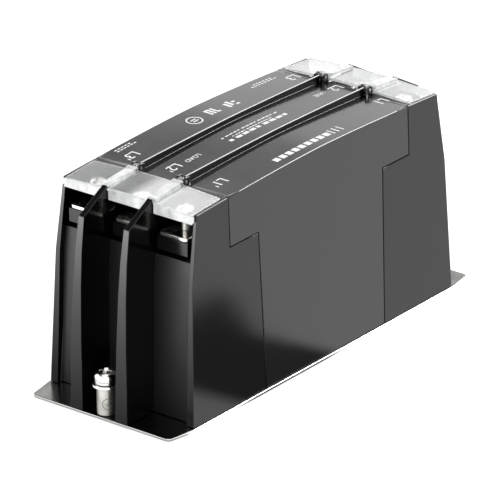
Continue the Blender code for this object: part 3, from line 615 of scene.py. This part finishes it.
def deck_text(name, words, right, base, height):
    """Generic terminal lettering that reads towards -X, with its tops towards -Y."""
    curve = bpy.data.curves.new(name, "FONT")
    curve.body = words
    curve.size = height / 0.70
    curve.extrude = PRINT_THICKNESS / 2
    curve.offset = height * 0.010
    text = bpy.data.objects.new(name, curve)
    bpy.context.scene.collection.objects.link(text)
    bpy.context.view_layer.update()
    mesh = bpy.data.meshes.new_from_object(text.evaluated_get(
        bpy.context.evaluated_depsgraph_get()))
    bpy.data.objects.remove(text, do_unlink=True)
    mesh.transform(Matrix.Translation((right, base, PRINT_THICKNESS / 2))
                   @ Matrix.Rotation(math.pi, 4, "Z"))
    for point in mesh.vertices:
        point.co.z += deck_height(point.co.x)
    return add_piece(name, mesh, "print")


def deck_bars(name, bars):
    """Plain printed bars (x0, x1, y0, y1) laid along the crowned deck."""
    bm = bmesh.new()
    for x0, x1, y0, y1 in bars:
        steps = max(1, int(abs(x1 - x0) / 0.003))
        rings = []
        for i in range(steps + 1):
            x = x0 + (x1 - x0) * i / steps
            z = deck_height(x)
            corners = ((y0, -PRINT_SUNK), (y1, -PRINT_SUNK), (y1, PRINT_THICKNESS),
                       (y0, PRINT_THICKNESS))
            rings.append([bm.verts.new((x, y, z + up)) for y, up in corners])
        skin(bm, rings)
    return add_piece(name, mesh_from(bm, name), "print")


def deck_ring(name, x, y, radius, width, spokes):
    """A plain printed ring with bars inside it, lying on the deck."""
    bm = bmesh.new()

    def on_deck(u, v, out):
        return Vector((x - u, y - v, deck_height(x - u) + max(out, -PRINT_SUNK)))

    for stroke in [circle_points(radius, 36)] + spokes:
        add_stroke(bm, stroke, width / 2, on_deck, PRINT_THICKNESS)
    return add_piece(name, mesh_from(bm, name), "print")


def make_prints():
    """Generic phase lettering, and plain bars where a maker would print a badge."""
    for name, words, right, base, height in (
            ("print_load_phase_1", "L1'", -0.0580, -0.0248, 0.0059),
            ("print_load_phase_2", "L2'", -0.0570, 0.0049, 0.0058),
            ("print_load_phase_3", "L3'", -0.0575, 0.0316, 0.0058),
            ("print_line_phase_1", "L1", 0.0754, -0.0246, 0.0059),
            ("print_line_phase_2", "L2", 0.0760, 0.0049, 0.0058),
            ("print_line_phase_3", "L3", 0.0742, 0.0316, 0.0058),
            ("print_load_word", "LOAD", -0.0417, 0.0026, 0.0029),
            ("print_line_word", "LINE", 0.0630, 0.0040, 0.0029)):
        deck_text(name, words, right, base, height)
    badge = [(0.0262 - 0.0036 * i, 0.0271 - 0.0036 * i, -0.0372, -0.0316) for i in range(3)]
    badge += [(0.0135 - 0.0051 * i, 0.0172 - 0.0051 * i, -0.0366, -0.0328) for i in range(9)]
    deck_bars("print_badge", badge)
    lines = []
    rows = ((-0.0205, 0.0285, 0.0022), (-0.0150, 0.0170, 0.0008), (-0.0210, 0.0250, 0.0009))
    for row, (start, end, tall) in enumerate(rows):
        middle = -0.0012 + 0.0026 * row
        count = 9 if row == 0 else 14
        step = (end - start) / count
        lines += [(start + step * i, start + step * (i + (0.78 if i % 4 else 0.5)),
                   middle - tall / 2, middle + tall / 2) for i in range(count)]
    deck_bars("print_rating_lines", lines)
    small = []
    for x0, x1, y in ((-0.0630, -0.0450, 0.0372), (-0.0630, -0.0490, 0.0390),
                      (0.0440, 0.0650, 0.0352), (0.0470, 0.0650, 0.0370)):
        small += [(x0 + 0.0026 * i, x0 + 0.0026 * i + 0.0018, y - 0.0004, y + 0.0004)
                  for i in range(int((x1 - x0) / 0.0026))]
    deck_bars("print_small_lines", small)
    deck_ring("print_mark_ring", -0.0103, 0.0298, 0.0042, 0.0008,
              [[(-0.0020, v), (0.0020, v)] for v in (0.0009, -0.0009)])
    blocks = [(x, x + 0.0014, 0.0270, 0.0335) for x in (0.0010, 0.0034, 0.0058)]
    blocks += [(0.0024, 0.0034, 0.0322, 0.0335), (0.0058, 0.0085, 0.0270, 0.0284)]
    deck_bars("print_mark_blocks", blocks)
    steps = [(0.0150, 0.0168, 0.0262, 0.0318), (0.0178, 0.0196, 0.0274, 0.0330)]
    steps += [(0.0206, 0.0232, y, y + 0.0014) for y in (0.0262, 0.0298)]
    deck_bars("print_mark_steps", steps)


# ---------------------------------------------------------------- carried-over nodes

def finish_cad_nodes():
    """Give every CAD node that stays visible a detailed material."""
    looks = {"base_plate": "plate", "choke_core": "core", "choke_winding": "wire",
             "choke_mount": "nylon", "circuit_board": "board", "x_capacitor": "capacitor",
             "y_capacitor": "capacitor", "bleed_resistor": "resistor"}
    for name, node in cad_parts.items():
        look = next((value for key, value in looks.items() if name.startswith(key)), "steel")
        node.data.materials.clear()
        node.data.materials.append(MATS[look])


# ---------------------------------------------------------------- studio

FOCUS = Vector((0.0, 0.0, 0.0565))
CAMERA_YAW = math.radians(38.17)
CAMERA_PITCH = math.radians(23.68)
CAMERA_ROLL = math.radians(-0.48)
CAMERA_DISTANCE = 2.6963
CAMERA_ACROSS = -0.00211
CAMERA_UP = -0.00777
CAMERA_LENS = 380.9
FLOOR_EMISSION = 0.40
SIDE_GLOW = 1.40
PATCH_GLOW = 0.17
ROOM_LIGHT = 1.35
CARD_LIGHT = 24.0


def make_camera():
    """A long lens, turned, tilted and shifted about the middle of the part."""
    forward = Vector((math.cos(CAMERA_YAW) * math.cos(CAMERA_PITCH),
                      math.sin(CAMERA_YAW) * math.cos(CAMERA_PITCH), -math.sin(CAMERA_PITCH)))
    right = Vector((math.sin(CAMERA_YAW), -math.cos(CAMERA_YAW), 0.0))
    up = right.cross(forward)
    turn = Matrix.Rotation(-CAMERA_ROLL, 3, forward)
    right, up = turn @ right, turn @ up
    data = bpy.data.cameras.new("camera")
    data.lens = CAMERA_LENS
    data.sensor_width = 36.0
    data.clip_start = 0.05
    data.clip_end = 50.0
    camera = bpy.data.objects.new("camera", data)
    bpy.context.scene.collection.objects.link(camera)
    where = FOCUS - forward * CAMERA_DISTANCE + right * CAMERA_ACROSS + up * CAMERA_UP
    axes = Matrix((right, up, -forward)).transposed().to_4x4()
    camera.matrix_world = Matrix.Translation(where) @ axes
    bpy.context.scene.camera = camera


def plane(name, size, z):
    """A flat square of the studio, which is not part of the object."""
    bm = bmesh.new()
    bmesh.ops.create_grid(bm, x_segments=1, y_segments=1, size=size)
    moved(bm, 0.0, 0.0, z)
    mesh = bpy.data.meshes.new(name)
    bm.to_mesh(mesh)
    bm.free()
    made = bpy.data.objects.new(name, mesh)
    bpy.context.scene.collection.objects.link(made)
    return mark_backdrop(made) or made


def make_floor():
    """A pale floor for the eye, and a glow over it that only glossy surfaces mirror."""
    floor = plane("studio_floor", 6.0, -0.0002)
    mat = new_material("pale_floor", (0.95, 0.95, 0.95), 0.9)
    shader = mat.node_tree.nodes["Principled BSDF"]
    shader.inputs["Specular IOR Level"].default_value = 0.0
    shader.inputs["Emission Color"].default_value = (1.0, 1.0, 1.0, 1.0)
    shader.inputs["Emission Strength"].default_value = FLOOR_EMISSION
    floor.data.materials.append(mat)
    floor.visible_glossy = False
    glow = plane("studio_floor_glow", 3.0, -0.0001)
    glow.data.materials.append(glow_material())
    for ray in ("camera", "diffuse", "transmission", "volume_scatter", "shadow"):
        setattr(glow, f"visible_{ray}", False)


class Sums:
    """Small shader arithmetic for the studio's glow and sky."""

    def __init__(self, tree, vector):
        self.tree = tree
        split = tree.nodes.new("ShaderNodeSeparateXYZ")
        tree.links.new(vector, split.inputs["Vector"])
        self.x, self.y, self.z = (split.outputs[axis] for axis in "XYZ")

    def math(self, operation, a, b=0.0):
        node = self.tree.nodes.new("ShaderNodeMath")
        node.operation = operation
        for socket, value in zip(node.inputs, (a, b)):
            if isinstance(value, (int, float)):
                socket.default_value = value
            else:
                self.tree.links.new(value, socket)
        return node.outputs["Value"]

    def ramp(self, value, start, end, low, high, smooth=True):
        node = self.tree.nodes.new("ShaderNodeMapRange")
        node.interpolation_type = "SMOOTHSTEP" if smooth else "LINEAR"
        self.tree.links.new(value, node.inputs["Value"])
        for key, number in (("From Min", start), ("From Max", end), ("To Min", low),
                            ("To Max", high)):
            node.inputs[key].default_value = number
        return node.outputs["Result"]

    def blend(self, share, a, b):
        """a where the share is 0 and b where it is 1."""
        rest = self.math("SUBTRACT", 1.0, share)
        return self.math("ADD", self.math("MULTIPLY", a, rest), self.math("MULTIPLY", b, share))


def glow_material():
    """What the black mouldings mirror in the table: bright, with one darker patch."""
    mat = bpy.data.materials.new("floor_glow")
    mat.use_nodes = True
    tree = mat.node_tree
    tree.nodes.clear()
    where = tree.nodes.new("ShaderNodeTexCoord")
    sums = Sums(tree, where.outputs["Object"])
    near = sums.ramp(sums.y, -0.165, -0.140, 0.0, 1.0)
    beside = sums.ramp(sums.y, -0.044, -0.040, 1.0, 0.0)
    left = sums.ramp(sums.x, -0.078, -0.058, 0.0, 1.0)
    spread = sums.ramp(sums.y, -0.150, -0.100, 0.040, 0.0, smooth=False)
    past = sums.math("SUBTRACT", sums.x, spread)
    right = sums.ramp(past, 0.000, 0.018, 1.0, 0.0)
    patch = sums.math("MULTIPLY", sums.math("MULTIPLY", near, beside),
                      sums.math("MULTIPLY", left, right))
    side_light = sums.blend(patch, SIDE_GLOW, PATCH_GLOW)
    end_light = sums.ramp(sums.x, -0.386, -0.125, 4.6, 0.55, smooth=False)
    end_light = sums.math("ADD", end_light, sums.ramp(sums.x, -0.75, -0.386, 4.0, 0.0))
    at_end = sums.math("MULTIPLY", sums.ramp(sums.x, -0.114, -0.110, 1.0, 0.0),
                       sums.ramp(sums.y, -0.052, -0.046, 0.0, 1.0))
    light = sums.blend(at_end, side_light, end_light)
    glow = tree.nodes.new("ShaderNodeEmission")
    tree.links.new(light, glow.inputs["Strength"])
    out = tree.nodes.new("ShaderNodeOutputMaterial")
    tree.links.new(glow.outputs["Emission"], out.inputs["Surface"])
    return mat


def make_light():
    """An even white studio; glossy surfaces mirror a bright horizon and a long light card."""
    world = bpy.data.worlds.new("studio")
    bpy.context.scene.world = world
    world.use_nodes = True
    tree = world.node_tree
    tree.nodes.clear()
    where = tree.nodes.new("ShaderNodeTexCoord")
    sums = Sums(tree, where.outputs["Generated"])
    low = sums.ramp(sums.z, 0.32, 0.47, 2.2, 0.48)
    sky = sums.math("ADD", low, sums.ramp(sums.z, 0.49, 0.53, 0.0, 3.8))
    sky = sums.math("SUBTRACT", sky, sums.ramp(sums.z, 0.62, 0.74, 0.0, 4.1))
    sky = sums.math("ADD", sky, sums.ramp(sums.z, 0.90, 0.97, 0.0, 1.0))
    lifted = sums.math("MULTIPLY", sums.ramp(sums.z, 0.50, 0.56, 0.0, 1.0),
                       sums.ramp(sums.z, 0.70, 0.78, 1.0, 0.0))
    across = sums.math("MULTIPLY", sums.ramp(sums.x, 0.56, 0.66, 0.0, 1.0),
                       sums.ramp(sums.y, 0.10, 0.25, 1.0, 0.0))
    card = sums.math("MULTIPLY", lifted, across)
    sky = sums.math("ADD", sky, sums.math("MULTIPLY", card, CARD_LIGHT))
    shade = sums.math("MULTIPLY", sums.ramp(sums.y, 0.10, 0.35, 0.0, 1.0),
                      sums.ramp(sums.x, 0.20, 0.45, 1.0, 0.0))
    above = sums.ramp(sums.z, 0.58, 0.74, 0.0, 1.3)
    sky = sums.math("ADD", sky, sums.math("MULTIPLY", above, sums.math("SUBTRACT", 1.0, shade)))
    ray = tree.nodes.new("ShaderNodeLightPath")
    strength = sums.blend(ray.outputs["Is Glossy Ray"], ROOM_LIGHT, sky)
    background = tree.nodes.new("ShaderNodeBackground")
    tree.links.new(strength, background.inputs["Strength"])
    out = tree.nodes.new("ShaderNodeOutputWorld")
    tree.links.new(background.outputs["Background"], out.inputs["Surface"])
    bpy.context.scene.view_settings.view_transform = "Standard"


make_housing()
make_fasteners()
for side_name in SIDES:
    make_post(side_name)
make_prints()
finish_cad_nodes()
make_camera()
make_floor()
make_light()
